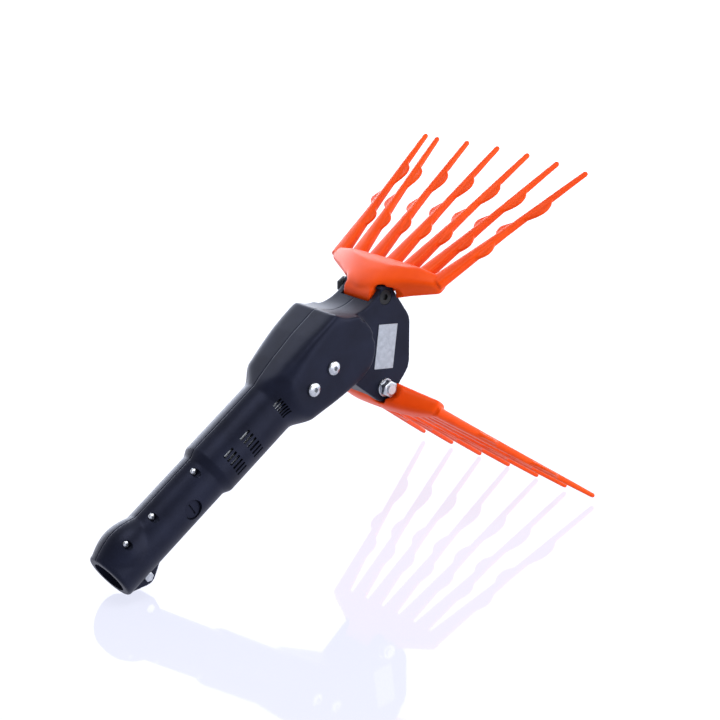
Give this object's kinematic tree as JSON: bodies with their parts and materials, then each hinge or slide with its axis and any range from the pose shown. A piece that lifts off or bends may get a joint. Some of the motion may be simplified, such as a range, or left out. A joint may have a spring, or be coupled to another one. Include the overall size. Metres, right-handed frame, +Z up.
{
  "type": "electric olive harvester",
  "caption": "Pole-mounted electric olive harvester head: motor housing with a clamp socket and two hinged combs of long finned tines that swing together.",
  "frame": {"origin": "middle of the footprint on the table that the tool lies on, at the table surface", "axes": "+X from the pole socket to the combs, +Y across the tool to its left side, +Z up from the table"},
  "size_m": [0.4616, 0.2292, 0.3107],
  "materials": {
    "black_plastic": "satin moulded",
    "orange_plastic": "semi gloss moulded",
    "zinc": "bright zinc",
    "bronze": "plain",
    "steel": "machined",
    "black_steel": "black oxide",
    "label_foil": "satin foil",
    "cast_alloy": "as cast",
    "white_plastic": "matte",
    "red_insulation": "matte"
  },
  "bodies": {
    "housing": {"right_housing": "black_plastic", "left_housing": "black_plastic", "housing_screws": "zinc", "gear_cover_screws": "zinc", "clamp_bolt": "zinc", "clamp_nut": "zinc", "slotted_plug": "black_plastic", "label_plate": "label_foil", "hinge_bolts": "black_steel", "hinge_nuts": "zinc", "hinge_washers": "zinc", "gear_carrier": "cast_alloy", "crank_bearings": "steel", "motor_can": "steel", "motor_magnets": "steel", "motor_end_cap": "black_plastic", "motor_bearings": "steel", "terminal_block": "white_plastic", "motor_leads": "red_insulation"},
    "upper_comb": {"upper_comb": "orange_plastic", "upper_comb_bush": "bronze", "upper_lever_pin": "steel"},
    "lower_comb": {"lower_comb": "orange_plastic", "lower_comb_bush": "bronze", "lower_lever_pin": "steel"},
    "yoke": {"yoke": "steel", "crank_pin": "steel", "crank_roller": "bronze"},
    "crank": {"crown_gear": "steel", "crank_shaft": "steel"},
    "rotor": {"drive_pinion": "steel", "motor_shaft": "steel", "armature": "steel", "commutator": "bronze"}
  },
  "joints": [
    {"name": "lower_comb_swing", "type": "hinge", "parent": "housing", "child": "lower_comb", "pos_m": [0.05085, 0, 0.12424], "axis": [0, -1, 0], "range_deg": [-11, 11]},
    {"name": "upper_comb_swing", "type": "hinge", "parent": "housing", "child": "upper_comb", "pos_m": [0.05108, 0, 0.20424], "axis": [0, 1, 0], "range_deg": [-11, 11]},
    {"name": "yoke_slide", "type": "slide", "parent": "housing", "child": "yoke", "axis": [-1, 0, 0.0029], "range_m": [-0.00519, 0.00519]},
    {"name": "crank_turn", "type": "hinge", "parent": "housing", "child": "crank", "pos_m": [-0.00004, 0, 0.16438], "axis": [0, 1, 0], "continuous": true},
    {"name": "motor_spin", "type": "hinge", "parent": "housing", "child": "rotor", "pos_m": [-0.00004, 0, 0.16438], "axis": [0.8316, 0, 0.5554], "continuous": true}
  ],
  "couplings": [
    {"joint": "upper_comb_swing", "follows": "lower_comb_swing", "ratio": 1},
    {"joint": "yoke_slide", "follows": "lower_comb_swing", "m_per_rad": 0.027},
    {"joint": "motor_spin", "follows": "crank_turn", "ratio": 3.6}
  ]
}
